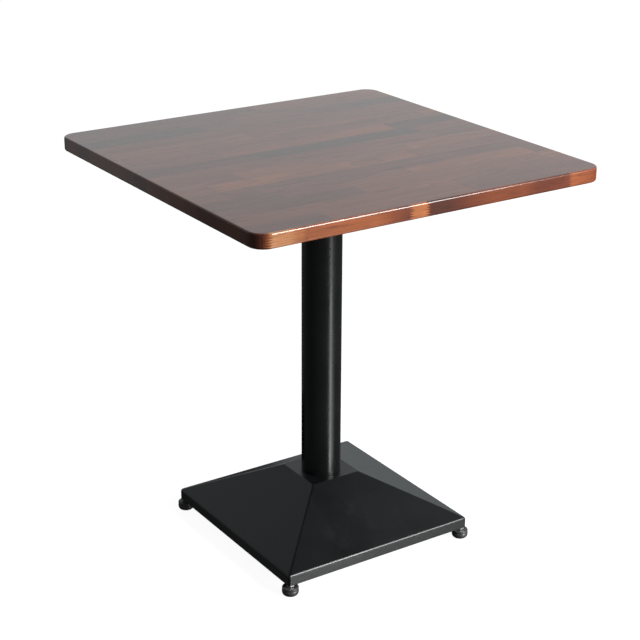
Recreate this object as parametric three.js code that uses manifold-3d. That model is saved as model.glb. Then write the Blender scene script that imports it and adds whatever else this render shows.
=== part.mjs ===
// A square bistro table: a solid wood top, a cast spider, a tube column, a cast pyramid base
// held by one long tie rod, and four screw feet.
// Units are millimetres and +Z is up. The origin is on the floor, under the column's centre.
// +X runs along the wood's grain. Front is -Y, back is +Y, left is -X and right is +X.

import * as THREE from 'three';
import { mergeVertices } from 'three/addons/utils/BufferGeometryUtils.js';
import Module from 'manifold-3d';

const wasm = await Module();
wasm.setup();

// ---- Driving dimensions ----

const TABLE_HEIGHT = 750;
const GAP = 0.3; // clearance round every pin, rod, nut and spigot

const TOP_SIZE = 700;
const TOP_THICKNESS = 26;
const TOP_CORNER_RADIUS = 28;
const TOP_EDGE_ROUND = 3;

const COLUMN_RADIUS = 37.5;
const COLUMN_WALL = 2;

const BASE_SIZE = 402;
const BASE_CORNER_RADIUS = 5;
const SKIRT_BOTTOM = 20.5;
const SKIRT_TOP = 40.5;
const PAD_SIZE = 104.5; // the flat square that the column stands on
const PAD_TOP = 118.5;
const CASTING_WALL = 5;
const BASE_RIB_DEPTH = 16; // measured down from the roof's inside
const BASE_RIB_THICKNESS = 6;
const BASE_RIM_WIDTH = 15; // where the ribs run down into the skirt
const BASE_BOSS_RADIUS = 23;
const BASE_BOSS_BOTTOM = 96.5;
const SPIGOT_HEIGHT = 10;
const SPIGOT_WALL = 7;

const SPIDER_HUB_RADIUS = 55;
const SPIDER_HUB_THICKNESS = 8;
const SPIDER_SPIGOT_HEIGHT = 16;
const SPIDER_CORE_RADIUS = 18;
const SPIDER_CORE_FLOOR = 12; // depth of the lightening groove in the spigot
const ARM_REACH = 232; // from the centre to the tip of an arm
const ARM_THICKNESS = 5;
const ARM_ROOT_WIDTH = 54;
const ARM_TIP_WIDTH = 34;
const ARM_WALL = 4; // the rim that hangs down round each arm
const ARM_WALL_DEPTH = 9; // at the hub; it gets shallower towards the tip
const ARM_WALL_TIP_DEPTH = 3;
const ARM_WALL_START = 42;
const ARM_WALL_SHOULDER = 62;
const SCREW_PLACES = { inner: 105, outer: 212 }; // distances from the centre, on each arm

const SCREW_SHANK_RADIUS = 2.4;
const SCREW_HEAD_RADIUS = 4.8;
const SCREW_HEAD_HEIGHT = 3;
const SCREW_HEAD_FLAT_RADIUS = 2.9;
const SCREW_HEAD_SHOULDER = { radius: 4.4, depth: 1.05 }; // where the flat rolls into the side
const SCREW_IN_WOOD = 17;
const SCREW_TIP = 4;

const ROD_RADIUS = 6; // M12
const ROD_BOTTOM = 74;
const ROD_BELOW_TOP_FACE = 1; // the rod ends this far under the spider's top face
const M12_NUT_FLATS = 19;
const M12_NUT_HEIGHT = 10;
const WASHER_RADIUS = 20;
const WASHER_THICKNESS = 4;
const SPRING_WASHER_RADIUS = 10.5;
const SPRING_WASHER_THICKNESS = 2.5;
const SPRING_WASHER_SLIT = 1.6;

const FOOT_INSET = 8; // from the skirt's outer face to the axis of a foot
const FOOT_RADIUS = 15.4;
const FOOT_SOLE_RADIUS = 10.5;
const FOOT_HEIGHT = 16;
const FOOT_BOWL_HEIGHT = 7; // where the bowl is widest
const FOOT_WAIST = { radius: 14.5, height: 11.2 }; // the groove between the bowl and the flange
const FOOT_FLANGE = { radius: 15.2, bottom: 12.3, shoulder: 1.6 };
const STUD_RADIUS = 4; // M8
const STUD_TOP = 37;
const STUD_HOLE_TOP = 39;
const STUD_HEAD_RADIUS = 8;
const STUD_HEAD_BOTTOM = 6.5;
const STUD_HEAD_HEIGHT = 4;
const FOOT_BOSS_RADIUS = 13;
const M8_NUT_FLATS = 13;
const M8_THIN_NUT_HEIGHT = 4;

const ROUND_SEGMENTS = 56;
const SMALL_SEGMENTS = 24;
const FOOT_SEGMENTS = 28;
const SCREW_SEGMENTS = 16;
const FOOT_SIDE_STEPS = 6;
const FOOT_CROWN_STEPS = 3;

// ---- Derived heights ----

const TOP_UNDERSIDE = TABLE_HEIGHT - TOP_THICKNESS;
const COLUMN_TOP = TOP_UNDERSIDE - SPIDER_HUB_THICKNESS;
const ARM_UNDERSIDE = TOP_UNDERSIDE - ARM_THICKNESS;
const COLUMN_BORE = COLUMN_RADIUS - COLUMN_WALL;
const ROD_TOP = TOP_UNDERSIDE - ROD_BELOW_TOP_FACE;
const TOP_NUT_SEAT = ROD_TOP - M12_NUT_HEIGHT;
const FOOT_PLACE = BASE_SIZE / 2 - FOOT_INSET;

// ---- Materials ----

function finish(color, roughness, metalness) {
  return new THREE.MeshStandardMaterial({ color, roughness, metalness });
}

const lacqueredWood = () => finish(0x4b3228, 0.35, 0);
const blackPowderCoat = () => finish(0x202424, 0.42, 0.1);
const zincPlate = () => finish(0xb4b6b4, 0.35, 0.9);
const blackPlastic = () => finish(0x1b1b1c, 0.45, 0);

// ---- Solids: three.js geometry in, booleans by manifold ----

function solidOf(geometry) {
  const bare = geometry.index ? geometry.toNonIndexed() : geometry.clone();
  bare.deleteAttribute('normal');
  bare.deleteAttribute('uv');
  const welded = mergeVertices(bare);
  const corners = welded.index.array;
  const triangles = [];
  for (let i = 0; i < corners.length; i += 3) {
    const [a, b, c] = [corners[i], corners[i + 1], corners[i + 2]];
    if (a !== b && b !== c && c !== a) {
      triangles.push(a, b, c);
    }
  }
  return new wasm.Manifold(new wasm.Mesh({
    numProp: 3,
    vertProperties: new Float32Array(welded.attributes.position.array),
    triVerts: new Uint32Array(triangles),
  }));
}

function geometryOf(solid) {
  const mesh = solid.getMesh();
  const geometry = new THREE.BufferGeometry();
  geometry.setAttribute('position', new THREE.BufferAttribute(mesh.vertProperties, 3));
  geometry.setIndex(new THREE.BufferAttribute(mesh.triVerts, 1));
  geometry.computeVertexNormals();
  return geometry;
}

// A solid of revolution about Z from [radius, height] pairs, listed upwards along its outside.
function turned(profile, segments = SMALL_SEGMENTS) {
  const points = profile.map(([radius, height]) => new THREE.Vector2(radius, height));
  return solidOf(new THREE.LatheGeometry(points, segments).rotateX(Math.PI / 2));
}

function cylinder(radius, bottom, top, segments = SMALL_SEGMENTS) {
  return turned([[0, bottom], [radius, bottom], [radius, top], [0, top]], segments);
}

// A body with square sections about Z, from [width, height] pairs.
function squareTurned(profile) {
  const points = profile.map(([width, height]) => new THREE.Vector2(width / Math.SQRT2, height));
  const geometry = new THREE.LatheGeometry(points, 4);
  return solidOf(geometry.rotateX(Math.PI / 2).rotateZ(Math.PI / 4));
}

function extruded(shape, bottom, top) {
  const settings = { depth: top - bottom, bevelEnabled: false, curveSegments: 8 };
  return solidOf(new THREE.ExtrudeGeometry(shape, settings).translate(0, 0, bottom));
}

function roundedSquare(size, radius) {
  const half = size / 2;
  const inner = half - radius;
  const shape = new THREE.Shape();
  shape.absarc(inner, -inner, radius, -Math.PI / 2, 0);
  shape.absarc(inner, inner, radius, 0, Math.PI / 2);
  shape.absarc(-inner, inner, radius, Math.PI / 2, Math.PI);
  shape.absarc(-inner, -inner, radius, Math.PI, Math.PI * 1.5);
  shape.closePath();
  return shape;
}

function hexPrism(flats, bottom, top) {
  const radius = flats / Math.sqrt(3);
  return turned([[0, bottom], [radius, bottom], [radius, top], [0, top]], 6);
}

function at(solid, x, y) {
  return solid.translate([x, y, 0]);
}

// ---- The four diagonal directions and the places on them ----

const CORNERS = [
  { name: 'front_left', x: -1, y: -1 },
  { name: 'front_right', x: 1, y: -1 },
  { name: 'back_right', x: 1, y: 1 },
  { name: 'back_left', x: -1, y: 1 },
];

// The turn, in degrees, from +X to a corner.
function diagonalTurn(corner) {
  return THREE.MathUtils.radToDeg(Math.atan2(corner.y, corner.x));
}

function screwPlaces(corner) {
  return Object.entries(SCREW_PLACES).map(([name, distance]) => ({
    name,
    x: corner.x * distance / Math.SQRT2,
    y: corner.y * distance / Math.SQRT2,
  }));
}

// ---- Tabletop ----

function tabletop() {
  const shape = roundedSquare(TOP_SIZE, TOP_CORNER_RADIUS);
  const geometry = new THREE.ExtrudeGeometry(shape, {
    depth: TOP_THICKNESS - 2 * TOP_EDGE_ROUND,
    bevelEnabled: true,
    bevelThickness: TOP_EDGE_ROUND,
    bevelSize: TOP_EDGE_ROUND,
    bevelOffset: -TOP_EDGE_ROUND,
    bevelSegments: 3,
    curveSegments: 5,
  });
  let solid = solidOf(geometry.translate(0, 0, TOP_UNDERSIDE + TOP_EDGE_ROUND));
  const pilotTop = TOP_UNDERSIDE + SCREW_IN_WOOD + 1;
  const pilot = cylinder(SCREW_SHANK_RADIUS + GAP, ARM_UNDERSIDE, pilotTop, SCREW_SEGMENTS);
  for (const corner of CORNERS) {
    for (const place of screwPlaces(corner)) {
      solid = solid.subtract(at(pilot, place.x, place.y));
    }
  }
  return solid;
}

// ---- Spider: the cast cross under the top ----

// The plan of an arm along +X, made smaller all round by `inset`.
function armOutline(start, inset) {
  const rootHalf = ARM_ROOT_WIDTH / 2 - inset;
  const tipHalf = ARM_TIP_WIDTH / 2 - inset;
  const tipCentre = ARM_REACH - ARM_TIP_WIDTH / 2;
  const outline = new THREE.Shape();
  outline.moveTo(start, -rootHalf);
  outline.lineTo(tipCentre, -tipHalf);
  outline.absarc(tipCentre, 0, tipHalf, -Math.PI / 2, Math.PI / 2);
  outline.lineTo(start, rootHalf);
  outline.closePath();
  return outline;
}

// An upside-down tray that tapers in width and depth from the hub to its round tip.
function spiderArm() {
  const side = new THREE.Shape();
  side.moveTo(0, COLUMN_TOP);
  side.lineTo(ARM_WALL_START, COLUMN_TOP);
  side.lineTo(ARM_WALL_START, ARM_UNDERSIDE - ARM_WALL_DEPTH);
  side.lineTo(ARM_WALL_SHOULDER, ARM_UNDERSIDE - ARM_WALL_DEPTH);
  side.lineTo(ARM_REACH, ARM_UNDERSIDE - ARM_WALL_TIP_DEPTH);
  side.lineTo(ARM_REACH, TOP_UNDERSIDE);
  side.lineTo(0, TOP_UNDERSIDE);
  side.closePath();
  const settings = { depth: 2 * ARM_ROOT_WIDTH, bevelEnabled: false };
  const geometry = new THREE.ExtrudeGeometry(side, settings).rotateX(Math.PI / 2);
  const wedge = solidOf(geometry.translate(0, ARM_ROOT_WIDTH, 0));
  const plan = extruded(armOutline(0, 0), 0, TABLE_HEIGHT);
  const pocketStart = ARM_WALL_START + ARM_WALL;
  const pocket = extruded(armOutline(pocketStart, ARM_WALL), 0, ARM_UNDERSIDE);
  return wedge.intersect(plan).subtract(pocket);
}

function topSpider() {
  const spigotBottom = COLUMN_TOP - SPIDER_SPIGOT_HEIGHT;
  const spigotRadius = COLUMN_BORE - GAP;
  let solid = turned([
    [0, spigotBottom],
    [spigotRadius, spigotBottom],
    [spigotRadius, COLUMN_TOP],
    [SPIDER_HUB_RADIUS, COLUMN_TOP],
    [SPIDER_HUB_RADIUS, TOP_UNDERSIDE],
    [0, TOP_UNDERSIDE],
  ], ROUND_SEGMENTS);
  const arm = spiderArm();
  for (const corner of CORNERS) {
    solid = solid.add(arm.rotate([0, 0, diagonalTurn(corner)]));
  }
  const grooveTop = spigotBottom + SPIDER_CORE_FLOOR;
  const groove = cylinder(spigotRadius - SPIGOT_WALL, spigotBottom - 1, grooveTop, ROUND_SEGMENTS)
    .subtract(cylinder(SPIDER_CORE_RADIUS, spigotBottom - 2, grooveTop + 1));
  const rodHole = cylinder(ROD_RADIUS + GAP, spigotBottom - 1, TOP_UNDERSIDE + 1);
  const nutPocket = hexPrism(M12_NUT_FLATS + 2 * GAP, TOP_NUT_SEAT, TOP_UNDERSIDE + 1);
  solid = solid.subtract(groove).subtract(rodHole).subtract(nutPocket);
  const screwHole = cylinder(SCREW_SHANK_RADIUS + GAP, ARM_UNDERSIDE - 1, TOP_UNDERSIDE + 1,
    SCREW_SEGMENTS);
  for (const corner of CORNERS) {
    for (const place of screwPlaces(corner)) {
      solid = solid.subtract(at(screwHole, place.x, place.y));
    }
  }
  return solid;
}

function woodScrew() {
  const headBottom = ARM_UNDERSIDE - SCREW_HEAD_HEIGHT;
  const tip = TOP_UNDERSIDE + SCREW_IN_WOOD;
  return turned([
    [0, headBottom],
    [SCREW_HEAD_FLAT_RADIUS, headBottom],
    [SCREW_HEAD_SHOULDER.radius, headBottom + SCREW_HEAD_SHOULDER.depth],
    [SCREW_HEAD_RADIUS, ARM_UNDERSIDE],
    [SCREW_SHANK_RADIUS, ARM_UNDERSIDE],
    [SCREW_SHANK_RADIUS, tip - SCREW_TIP],
    [0, tip],
  ], SCREW_SEGMENTS);
}

// ---- Column and tie rod ----

function columnTube() {
  return turned([
    [COLUMN_BORE, PAD_TOP],
    [COLUMN_RADIUS, PAD_TOP],
    [COLUMN_RADIUS, COLUMN_TOP],
    [COLUMN_BORE, COLUMN_TOP],
    [COLUMN_BORE, PAD_TOP],
  ], ROUND_SEGMENTS);
}

function ringSolid(outer, inner, bottom, top, segments = SMALL_SEGMENTS) {
  return cylinder(outer, bottom, top, segments)
    .subtract(cylinder(inner, bottom - 1, top + 1));
}

function hexNut(flats, threadRadius, bottom, height) {
  return hexPrism(flats, bottom, bottom + height)
    .subtract(cylinder(threadRadius + GAP, bottom - 1, bottom + height + 1));
}

function springWasher(top) {
  const bottom = top - SPRING_WASHER_THICKNESS;
  const ring = ringSolid(SPRING_WASHER_RADIUS, ROD_RADIUS + GAP, bottom, top);
  const slitLength = SPRING_WASHER_RADIUS + 1;
  const slit = new THREE.BoxGeometry(slitLength, SPRING_WASHER_SLIT, 2 * SPRING_WASHER_THICKNESS);
  return ring.subtract(solidOf(slit.translate(slitLength / 2, 0, (bottom + top) / 2)));
}

// ---- Base: one hollow casting, open underneath ----

const ROOF_SLOPE = (PAD_TOP - SKIRT_TOP) / ((BASE_SIZE - PAD_SIZE) / 2);
const ROOF_DROP = CASTING_WALL * Math.hypot(1, ROOF_SLOPE);

// The height of the sloping roof's outside at a distance from the centre plane.
function roofHeight(distance) {
  return SKIRT_TOP + (BASE_SIZE / 2 - distance) * ROOF_SLOPE;
}

// A hollow under the roof, lying `drop` below its outside and `rim` inside the skirt.
function hollow(rim, drop) {
  const side = BASE_SIZE / 2 - rim;
  const ceiling = PAD_TOP - drop;
  const ceilingHalf = BASE_SIZE / 2 - (ceiling + drop - SKIRT_TOP) / ROOF_SLOPE;
  return squareTurned([
    [0, 0],
    [2 * side, 0],
    [2 * side, roofHeight(side) - drop],
    [2 * ceilingHalf, ceiling],
    [0, ceiling],
  ]);
}

function baseCasting() {
  const plain = squareTurned([
    [0, SKIRT_BOTTOM],
    [BASE_SIZE, SKIRT_BOTTOM],
    [BASE_SIZE, SKIRT_TOP],
    [PAD_SIZE, PAD_TOP],
    [0, PAD_TOP],
  ]);
  const outside = plain.intersect(
    extruded(roundedSquare(BASE_SIZE, BASE_CORNER_RADIUS), 0, PAD_TOP + 1),
  );
  let solid = outside.subtract(hollow(CASTING_WALL, ROOF_DROP));

  const ribLength = BASE_SIZE * Math.SQRT2;
  const plate = solidOf(new THREE.BoxGeometry(ribLength, BASE_RIB_THICKNESS, PAD_TOP)
    .translate(0, 0, PAD_TOP / 2));
  const crossRibs = plate.rotate([0, 0, 45]).add(plate.rotate([0, 0, -45]));
  const ribs = crossRibs.subtract(hollow(BASE_RIM_WIDTH, ROOF_DROP + BASE_RIB_DEPTH));
  let inside = ribs.add(cylinder(BASE_BOSS_RADIUS, BASE_BOSS_BOTTOM, PAD_TOP));
  const footBoss = cylinder(FOOT_BOSS_RADIUS, 0, PAD_TOP);
  for (const corner of CORNERS) {
    inside = inside.add(at(footBoss, corner.x * FOOT_PLACE, corner.y * FOOT_PLACE));
  }
  solid = solid.add(inside.intersect(outside));

  const spigotRadius = COLUMN_BORE - GAP;
  const spigotTop = PAD_TOP + SPIGOT_HEIGHT;
  const spigot = ringSolid(spigotRadius, spigotRadius - SPIGOT_WALL, PAD_TOP - 1, spigotTop,
    ROUND_SEGMENTS);
  solid = solid.add(spigot);

  solid = solid.subtract(cylinder(ROD_RADIUS + GAP, 0, spigotTop));
  const footHole = cylinder(STUD_RADIUS + GAP, 0, STUD_HOLE_TOP);
  for (const corner of CORNERS) {
    solid = solid.subtract(at(footHole, corner.x * FOOT_PLACE, corner.y * FOOT_PLACE));
  }
  return solid;
}

// ---- Feet ----

// A plastic bowl under a thin flange: its side is a quarter ellipse from the sole to the widest
// place, then a shallow groove and the flange's round shoulder. The stud's head is held inside.
function footPad() {
  const profile = [[0, 0]];
  for (let i = 0; i <= FOOT_SIDE_STEPS; i += 1) {
    const angle = (i / FOOT_SIDE_STEPS) * Math.PI / 2;
    profile.push([
      FOOT_SOLE_RADIUS + (FOOT_RADIUS - FOOT_SOLE_RADIUS) * Math.sin(angle),
      FOOT_BOWL_HEIGHT * (1 - Math.cos(angle)),
    ]);
  }
  profile.push([FOOT_WAIST.radius, FOOT_WAIST.height]);
  profile.push([FOOT_FLANGE.radius, FOOT_FLANGE.bottom]);
  const shoulder = FOOT_FLANGE.shoulder;
  for (let i = 0; i <= FOOT_CROWN_STEPS; i += 1) {
    const angle = (i / FOOT_CROWN_STEPS) * Math.PI / 2;
    profile.push([
      FOOT_FLANGE.radius - shoulder * (1 - Math.cos(angle)),
      FOOT_HEIGHT - shoulder * (1 - Math.sin(angle)),
    ]);
  }
  const socketFloor = STUD_HEAD_BOTTOM - GAP;
  const socketTop = STUD_HEAD_BOTTOM + STUD_HEAD_HEIGHT + GAP;
  profile.push([STUD_RADIUS + GAP, FOOT_HEIGHT]);
  profile.push([STUD_RADIUS + GAP, socketTop]);
  profile.push([STUD_HEAD_RADIUS + GAP, socketTop]);
  profile.push([STUD_HEAD_RADIUS + GAP, socketFloor]);
  profile.push([0, socketFloor]);
  return turned(profile, FOOT_SEGMENTS);
}

function footStud() {
  const headTop = STUD_HEAD_BOTTOM + STUD_HEAD_HEIGHT;
  return turned([
    [0, STUD_HEAD_BOTTOM],
    [STUD_HEAD_RADIUS, STUD_HEAD_BOTTOM],
    [STUD_HEAD_RADIUS, headTop],
    [STUD_RADIUS, headTop],
    [STUD_RADIUS, STUD_TOP - 1],
    [STUD_RADIUS - 1, STUD_TOP],
    [0, STUD_TOP],
  ]);
}

// ---- Assembly ----

const table = new THREE.Group();

function addPart(name, solid, material, parent = table) {
  const mesh = new THREE.Mesh(geometryOf(solid), material);
  mesh.name = name;
  parent.add(mesh);
}

addPart('tabletop', tabletop(), lacqueredWood());
addPart('top_spider', topSpider(), blackPowderCoat());
addPart('column_tube', columnTube(), blackPowderCoat());
addPart('base_casting', baseCasting(), blackPowderCoat());

const washerBottom = BASE_BOSS_BOTTOM - WASHER_THICKNESS;
const lowerNutTop = washerBottom - SPRING_WASHER_THICKNESS;
const lowerNutBottom = lowerNutTop - M12_NUT_HEIGHT;
addPart('tie_rod', cylinder(ROD_RADIUS, ROD_BOTTOM, ROD_TOP), zincPlate());
addPart('tie_rod_top_nut', hexNut(M12_NUT_FLATS, ROD_RADIUS, TOP_NUT_SEAT, M12_NUT_HEIGHT),
  zincPlate());
addPart('tie_rod_washer', ringSolid(WASHER_RADIUS, ROD_RADIUS + GAP, washerBottom,
  BASE_BOSS_BOTTOM), zincPlate());
addPart('tie_rod_spring_washer', springWasher(washerBottom), zincPlate());
addPart('tie_rod_bottom_nut', hexNut(M12_NUT_FLATS, ROD_RADIUS, lowerNutBottom,
  M12_NUT_HEIGHT), zincPlate());

const screw = woodScrew();
const pad = footPad();
const stud = footStud();
const thinNut = hexNut(M8_NUT_FLATS, STUD_RADIUS, SKIRT_BOTTOM - M8_THIN_NUT_HEIGHT,
  M8_THIN_NUT_HEIGHT);

for (const corner of CORNERS) {
  for (const place of screwPlaces(corner)) {
    addPart(`top_screw_${corner.name}_${place.name}`, at(screw, place.x, place.y), zincPlate());
  }
  const foot = new THREE.Group();
  foot.position.set(corner.x * FOOT_PLACE, corner.y * FOOT_PLACE, 0);
  addPart(`foot_pad_${corner.name}`, pad, blackPlastic(), foot);
  addPart(`foot_stud_${corner.name}`, stud, zincPlate(), foot);
  addPart(`foot_lock_nut_${corner.name}`, thinNut, zincPlate(), foot);
  table.add(foot);
}

export default table;
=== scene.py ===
"""The looks of the square bistro table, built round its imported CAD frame.

Units are metres and +Z is up. The origin is on the floor, under the column's centre. +X runs
along the wood's grain, front is -Y, back is +Y, left is -X and right is +X.
"""

import math
from functools import reduce
from types import SimpleNamespace

import bpy
from mathutils import Matrix, Vector


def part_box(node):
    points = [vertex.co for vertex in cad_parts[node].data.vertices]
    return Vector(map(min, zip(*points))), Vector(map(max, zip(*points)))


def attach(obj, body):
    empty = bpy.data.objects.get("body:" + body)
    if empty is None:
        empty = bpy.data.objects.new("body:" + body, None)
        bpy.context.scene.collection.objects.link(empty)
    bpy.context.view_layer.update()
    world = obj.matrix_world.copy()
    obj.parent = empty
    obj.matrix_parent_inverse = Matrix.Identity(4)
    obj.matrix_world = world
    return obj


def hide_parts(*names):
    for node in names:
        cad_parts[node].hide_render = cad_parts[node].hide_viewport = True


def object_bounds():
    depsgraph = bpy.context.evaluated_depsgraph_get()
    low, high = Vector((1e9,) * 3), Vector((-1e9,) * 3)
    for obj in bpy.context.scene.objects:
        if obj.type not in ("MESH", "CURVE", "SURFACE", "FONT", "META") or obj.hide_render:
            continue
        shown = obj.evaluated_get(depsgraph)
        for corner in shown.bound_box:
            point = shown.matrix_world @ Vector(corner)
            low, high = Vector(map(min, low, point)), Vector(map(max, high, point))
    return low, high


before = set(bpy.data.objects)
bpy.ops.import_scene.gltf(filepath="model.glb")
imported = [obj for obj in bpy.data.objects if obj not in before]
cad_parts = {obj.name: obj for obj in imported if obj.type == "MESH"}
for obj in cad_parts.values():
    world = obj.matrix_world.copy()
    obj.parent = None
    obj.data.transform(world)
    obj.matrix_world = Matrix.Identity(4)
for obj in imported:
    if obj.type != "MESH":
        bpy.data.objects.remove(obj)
cad_low, cad_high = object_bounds()

MM = 0.001
CORNERS = {"front_left": (-1, -1), "front_right": (1, -1), "back_right": (1, 1), "back_left": (-1, 1)}


# ---- Sizes: what several pieces share ----

FIT = 0.3 * MM  # clearance round pins and spigots
PAST = 5 * MM  # how far a cutting tool runs past the piece that it cuts
TUBE_WALL = 2 * MM
ROD_HOLE_RADIUS = 6.3 * MM
STUD_HOLE_RADIUS = 4.3 * MM
SCREW_HOLE_RADIUS = 2.7 * MM
M12_NUT_FLATS = 19 * MM
M8_NUT_FLATS = 13 * MM
OVERLAP = 1 * MM  # how far two parts that become one reach into each other
SPIGOT_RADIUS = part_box("column_tube")[1].x - TUBE_WALL - FIT
SPIGOT_WALL = 7 * MM
STUD_LOW, STUD_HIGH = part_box("foot_stud_front_right")
FOOT_PLACE = (STUD_LOW.x + STUD_HIGH.x) / 2  # along X and Y from the centre to a foot's axis
SPIDER_LOW, SPIDER_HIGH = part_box("top_spider")
ARM_THICKNESS = 5 * MM


def screw_places():
    """Each wood screw's name and the middle of its box."""
    for corner in CORNERS:
        for row in ("inner", "outer"):
            low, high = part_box(f"top_screw_{corner}_{row}")
            yield f"{corner}_{row}", (low + high) / 2


# ---- Camera ----

CAMERA_AZIMUTH = math.radians(-33.564)
CAMERA_DOWN = math.radians(21.566)
CAMERA_ROLL = math.radians(0.258)
CAMERA_DISTANCE = 2.940
CAMERA_ASIDE = -0.00305  # from the table's middle to the point that the camera looks at
CAMERA_ABOVE = 0.04578
CAMERA_LENS_MM = 88.412
CAMERA_SENSOR_MM = 36


def make_camera():
    """Looks at the table from the front left and above, with a slight roll."""
    azimuth, down, roll = CAMERA_AZIMUTH, CAMERA_DOWN, CAMERA_ROLL
    forward = Vector((
        -math.sin(azimuth) * math.cos(down),
        math.cos(azimuth) * math.cos(down),
        -math.sin(down),
    ))
    level = Vector((math.cos(azimuth), math.sin(azimuth), 0))
    upright = level.cross(forward)
    right = level * math.cos(roll) + upright * math.sin(roll)
    up = upright * math.cos(roll) - level * math.sin(roll)
    aim = (cad_low + cad_high) / 2 + level * CAMERA_ASIDE + upright * CAMERA_ABOVE
    camera = bpy.data.objects.new("camera", bpy.data.cameras.new("camera"))
    bpy.context.scene.collection.objects.link(camera)
    camera.data.lens = CAMERA_LENS_MM
    camera.data.sensor_width = CAMERA_SENSOR_MM
    camera.data.clip_end = 100
    turn = Matrix((right, up, -forward)).transposed().to_4x4()
    camera.matrix_world = Matrix.Translation(aim - forward * CAMERA_DISTANCE) @ turn
    bpy.context.scene.camera = camera


# ---- Node helpers ----

def set_inputs(tree, node, values):
    """Links each input that is given a socket, and sets each that is given a plain value."""
    for name, value in values.items():
        if isinstance(value, bpy.types.NodeSocket):
            tree.links.new(value, node.inputs[name])
        else:
            node.inputs[name].default_value = value


def add_node(tree, kind, inputs=None, **settings):
    """A new node. Its settings are made before its inputs are filled."""
    node = tree.nodes.new(kind)
    for name, value in settings.items():
        setattr(node, name, value)
    set_inputs(tree, node, inputs or {})
    return node


def calc(tree, operation, *values):
    """The result of a Math node."""
    return add_node(tree, "ShaderNodeMath", dict(enumerate(values)), operation=operation).outputs[0]


# The next three take any number of values, from left to right.

def plus(tree, *values):
    return reduce(lambda total, value: calc(tree, "ADD", total, value), values)


def minus(tree, value, *taken):
    return reduce(lambda rest, part: calc(tree, "SUBTRACT", rest, part), taken, value)


def times(tree, *values):
    return reduce(lambda product, value: calc(tree, "MULTIPLY", product, value), values)


def off_middle(tree, value):
    """How far a repeating number is from the middle of its period of 1: -0.5 to 0.5."""
    return minus(tree, calc(tree, "FRACT", value), 0.5)


def vector_calc(tree, operation, *values):
    """The result of a Vector Math node; a dot product is a number."""
    node = add_node(tree, "ShaderNodeVectorMath", dict(enumerate(values)), operation=operation)
    return node.outputs["Value" if operation == "DOT_PRODUCT" else "Vector"]


def spread(tree, value, low, high, to_low=0.0, to_high=1.0, smooth=False):
    """A number's range from low to high, carried to another range and held at its ends."""
    return add_node(tree, "ShaderNodeMapRange", {
        "Value": value, "From Min": low, "From Max": high, "To Min": to_low, "To Max": to_high,
    }, interpolation_type="SMOOTHSTEP" if smooth else "LINEAR").outputs["Result"]


def blend_colours(tree, share, first, second, mode="MIX"):
    """From the first colour at share 0 to the second at 1. Colours and share may be sockets."""
    first, second = ((*c, 1) if isinstance(c, tuple) else c for c in (first, second))
    node = add_node(tree, "ShaderNodeMix", {0: share, 6: first, 7: second},
                    data_type="RGBA", blend_type=mode)
    return node.outputs[2]


def colour_ramp(tree, value, stops, constant=False):
    """stops are (place, colour) pairs in rising order."""
    node = add_node(tree, "ShaderNodeValToRGB", {"Fac": value})
    ramp = node.color_ramp
    ramp.interpolation = "CONSTANT" if constant else "LINEAR"
    while len(ramp.elements) < len(stops):
        ramp.elements.new(1)
    for element, (place, colour) in zip(ramp.elements, stops):
        element.position = place
        element.color = (*colour, 1)
    return node.outputs["Color"]


def noise(tree, place, scale, detail=3, roughness=0.5, stretch=(1, 1, 1)):
    """Soft noise, about 0.5, with `scale` features a metre."""
    scaled = vector_calc(tree, "MULTIPLY", place, tuple(scale * s for s in stretch))
    return add_node(tree, "ShaderNodeTexNoise", {
        "Vector": scaled, "Scale": 1, "Detail": detail, "Roughness": roughness,
    }).outputs["Fac"]


def grey(tree, value):
    """A colour whose three parts are one number."""
    return add_node(tree, "ShaderNodeCombineColor", {0: value, 1: value, 2: value}).outputs[0]


def new_material(name):
    """(material, node tree, its shader, the place in the piece's own frame)"""
    material = bpy.data.materials.new(name)
    material.use_nodes = True
    tree = material.node_tree
    shader = tree.nodes["Principled BSDF"]
    place = tree.nodes.new("ShaderNodeTexCoord").outputs["Object"]
    return material, tree, shader, place


def set_bump(tree, shader, height, distance, strength=1.0):
    """Roughens a surface by a height, where 1 stands for `distance` metres."""
    bump = add_node(tree, "ShaderNodeBump", {
        "Height": height, "Distance": distance, "Strength": strength,
    })
    set_inputs(tree, shader, {"Normal": bump.outputs["Normal"]})


# ---- Studio ----

# What the table sees round it: a bright backdrop behind it in a dim room
BACKDROP_WAY = (0.80, 0.60, 0)  # behind the table and to the right
BACKDROP_LIGHT = (0.80, 0.865, 0.89)
ROOM_LIGHT = (0.157, 0.163, 0.168)
GROUND_LIGHT = (0.072, 0.074, 0.074)
# Where it fades: its sides by the cosine of the angle from its middle, and the rest by the sine
# of the height above the horizon
BACKDROP_SIDES = (-0.40, 1.02)
BACKDROP_FOOT = (-0.22, 0.05)
BACKDROP_TOP = (0.50, 1.05)
BACKDROP_STEP = (0.27, 0.36)  # above this step it is dimmer
BACKDROP_UPPER_SHARE = 0.66
GROUND_EDGE = (-0.1, 0.05)

# Soft boxes: azimuth from -Y towards +X in degrees, distance, lowest and highest edge, width,
# brightness, and whether they light matt surfaces too. The glows stand for what the pale floor
# in front sends back, and so they are below the floor.
SOFT_BOXES = {
    "key": (27.0, 2.6, 0.60, 2.60, 0.84, 31, True),
    "glow": (20.7, 2.6, -1.50, -0.32, 0.52, 7.5, False),
    "side_glow": (34.0, 2.6, -1.50, -0.78, 0.80, 2.0, False),
}
# A dim card at the back left, for gloss alone
SIDE_CARD = {"place": (-0.95, 1.65, 0.40), "size": (1.1, 0.60), "brightness": 0.27}
# A dark board behind the base, for gloss alone: (x, z) of two of its corners
FLAG = {"behind": 0.42, "from": (-0.30, -0.50), "to": (0.14, 0.085)}

FLOOR_HALF = 12.0
FLOOR_GLOW = 0.94


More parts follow.
